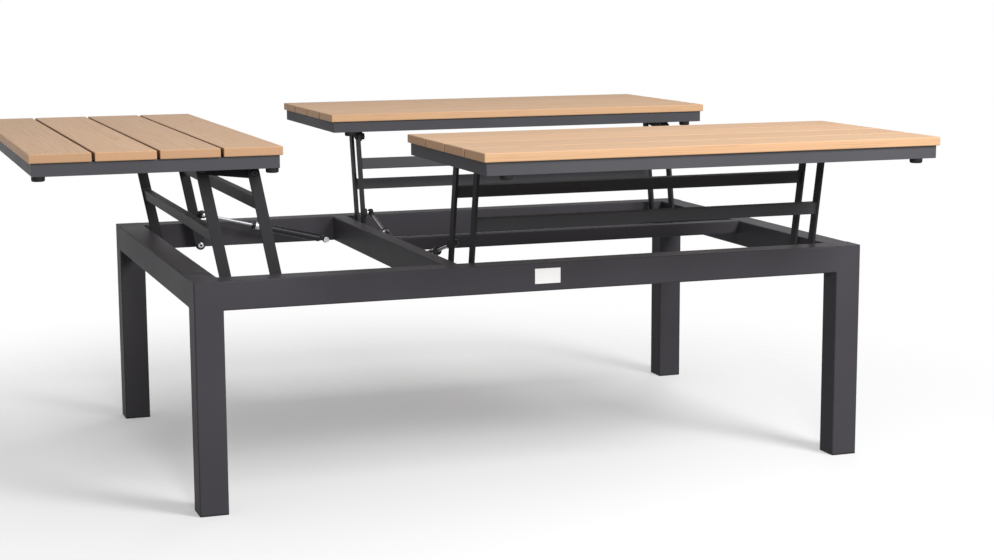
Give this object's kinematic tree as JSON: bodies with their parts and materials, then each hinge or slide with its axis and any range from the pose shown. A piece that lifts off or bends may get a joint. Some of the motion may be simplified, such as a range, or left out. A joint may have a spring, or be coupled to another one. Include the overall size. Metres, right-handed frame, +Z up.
{
  "type": "lift-top garden table",
  "caption": "Low rectangular garden table with a square-tube frame and slatted wooden tops that lift outward, staying level, on gas-sprung parallelogram links.",
  "frame": {"origin": "on the floor, at the middle of the open table's outline seen from above", "axes": "+X along the table's length, away from the single left top; +Y to the back; +Z up"},
  "size_m": [1.5134, 1.3516, 0.6215],
  "materials": {
    "frame_coat": "matte",
    "glide_plastic": "matte",
    "zinc": "satin",
    "link_coat": "satin",
    "top_frame_coat": "satin",
    "teak": "satin",
    "rubber": "matte",
    "spring_black": "satin",
    "rod_chrome": "polished"
  },
  "bodies": {
    "frame": {"leg_front_left": "frame_coat", "leg_front_right": "frame_coat", "leg_back_left": "frame_coat", "leg_back_right": "frame_coat", "front_rail": "frame_coat", "back_rail": "frame_coat", "left_rail": "frame_coat", "right_rail": "frame_coat", "cross_rail": "frame_coat", "middle_rail": "frame_coat", "leg_caps": "frame_coat", "foot_glides": "glide_plastic", "base_bolts": "zinc", "base_spacers": "zinc", "insert_nuts": "zinc", "spring_studs": "zinc"},
    "left_outer_arm": {"left_outer_link_near": "link_coat", "left_outer_link_far": "link_coat", "left_outer_crossbar": "link_coat"},
    "left_inner_arm": {"left_inner_link_near": "link_coat", "left_inner_link_far": "link_coat", "left_inner_crossbar": "link_coat"},
    "left_top": {"left_slats": "teak", "left_top_frame": "top_frame_coat", "left_battens": "top_frame_coat", "left_top_brackets": "link_coat", "left_top_bolts": "zinc", "left_buffers": "rubber"},
    "left_spring_body": {"left_spring_tube": "spring_black"},
    "left_spring_plunger": {"left_spring_rod": "rod_chrome"},
    "front_outer_arm": {"front_outer_link_near": "link_coat", "front_outer_link_far": "link_coat", "front_outer_crossbar": "link_coat"},
    "front_inner_arm": {"front_inner_link_near": "link_coat", "front_inner_link_far": "link_coat", "front_inner_crossbar": "link_coat"},
    "front_top": {"front_slats": "teak", "front_top_frame": "top_frame_coat", "front_battens": "top_frame_coat", "front_top_brackets": "link_coat", "front_top_bolts": "zinc", "front_buffers": "rubber"},
    "front_spring_body": {"front_spring_tube": "spring_black"},
    "front_spring_plunger": {"front_spring_rod": "rod_chrome"},
    "back_outer_arm": {"back_outer_link_near": "link_coat", "back_outer_link_far": "link_coat", "back_outer_crossbar": "link_coat"},
    "back_inner_arm": {"back_inner_link_near": "link_coat", "back_inner_link_far": "link_coat", "back_inner_crossbar": "link_coat"},
    "back_top": {"back_slats": "teak", "back_top_frame": "top_frame_coat", "back_battens": "top_frame_coat", "back_top_brackets": "link_coat", "back_top_bolts": "zinc", "back_buffers": "rubber"},
    "back_spring_body": {"back_spring_tube": "spring_black"},
    "back_spring_plunger": {"back_spring_rod": "rod_chrome"}
  },
  "joints": [
    {"name": "left_lift", "type": "hinge", "parent": "frame", "child": "left_outer_arm", "pos_m": [-0.42533, 0, 0.367], "axis": [0, 1, 0], "range_deg": [0, 90.58]},
    {"name": "left_inner_arm_turn", "type": "hinge", "parent": "frame", "child": "left_inner_arm", "pos_m": [-0.3381, 0, 0.357], "axis": [0, 1, 0], "range_deg": [0, 90.58]},
    {"name": "left_top_level", "type": "hinge", "parent": "left_outer_arm", "child": "left_top", "pos_m": [-0.4673, 0, 0.58296], "axis": [0, 1, 0], "range_deg": [-90.58, 0]},
    {"name": "left_spring_swing", "type": "hinge", "parent": "frame", "child": "left_spring_body", "pos_m": [-0.07633, 0, 0.357], "axis": [0, 1, 0], "range_deg": [-15.46, 0]},
    {"name": "left_spring_stroke", "type": "slide", "parent": "left_spring_body", "child": "left_spring_plunger", "axis": [0.9711, 0, -0.2388], "range_m": [0, 0.0656]},
    {"name": "front_lift", "type": "hinge", "parent": "frame", "child": "front_outer_arm", "pos_m": [0.33917, -0.3445, 0.367], "axis": [-1, 0, 0], "range_deg": [0, 90.58]},
    {"name": "front_inner_arm_turn", "type": "hinge", "parent": "frame", "child": "front_inner_arm", "pos_m": [0.33917, -0.25727, 0.357], "axis": [-1, 0, 0], "range_deg": [0, 90.58]},
    {"name": "front_top_level", "type": "hinge", "parent": "front_outer_arm", "child": "front_top", "pos_m": [0.33917, -0.38648, 0.58296], "axis": [-1, 0, 0], "range_deg": [-90.58, 0]},
    {"name": "front_spring_swing", "type": "hinge", "parent": "frame", "child": "front_spring_body", "pos_m": [0.33917, -0.0195, 0.357], "axis": [-1, 0, 0], "range_deg": [-17.05, 0]},
    {"name": "front_spring_stroke", "type": "slide", "parent": "front_spring_body", "child": "front_spring_plunger", "axis": [0, 0.9651, -0.2618], "range_m": [0, 0.06635]},
    {"name": "back_lift", "type": "hinge", "parent": "frame", "child": "back_outer_arm", "pos_m": [0.33917, 0.3445, 0.367], "axis": [1, 0, 0], "range_deg": [0, 90.58]},
    {"name": "back_inner_arm_turn", "type": "hinge", "parent": "frame", "child": "back_inner_arm", "pos_m": [0.33917, 0.25727, 0.357], "axis": [1, 0, 0], "range_deg": [0, 90.58]},
    {"name": "back_top_level", "type": "hinge", "parent": "back_outer_arm", "child": "back_top", "pos_m": [0.33917, 0.38648, 0.58296], "axis": [1, 0, 0], "range_deg": [-90.58, 0]},
    {"name": "back_spring_swing", "type": "hinge", "parent": "frame", "child": "back_spring_body", "pos_m": [0.33917, 0.0195, 0.357], "axis": [1, 0, 0], "range_deg": [-17.05, 0]},
    {"name": "back_spring_stroke", "type": "slide", "parent": "back_spring_body", "child": "back_spring_plunger", "axis": [0, -0.9651, -0.2618], "range_m": [0, 0.06635]}
  ],
  "couplings": [
    {"joint": "left_inner_arm_turn", "follows": "left_lift", "ratio": 1},
    {"joint": "left_top_level", "follows": "left_lift", "ratio": -1},
    {"joint": "left_spring_swing", "follows": "left_lift", "ratio": -0.1706},
    {"joint": "left_spring_stroke", "follows": "left_lift", "m_per_rad": 0.041487},
    {"joint": "front_inner_arm_turn", "follows": "front_lift", "ratio": 1},
    {"joint": "front_top_level", "follows": "front_lift", "ratio": -1},
    {"joint": "front_spring_swing", "follows": "front_lift", "ratio": -0.18812},
    {"joint": "front_spring_stroke", "follows": "front_lift", "m_per_rad": 0.041962},
    {"joint": "back_inner_arm_turn", "follows": "back_lift", "ratio": 1},
    {"joint": "back_top_level", "follows": "back_lift", "ratio": -1},
    {"joint": "back_spring_swing", "follows": "back_lift", "ratio": -0.18812},
    {"joint": "back_spring_stroke", "follows": "back_lift", "m_per_rad": 0.041962}
  ]
}
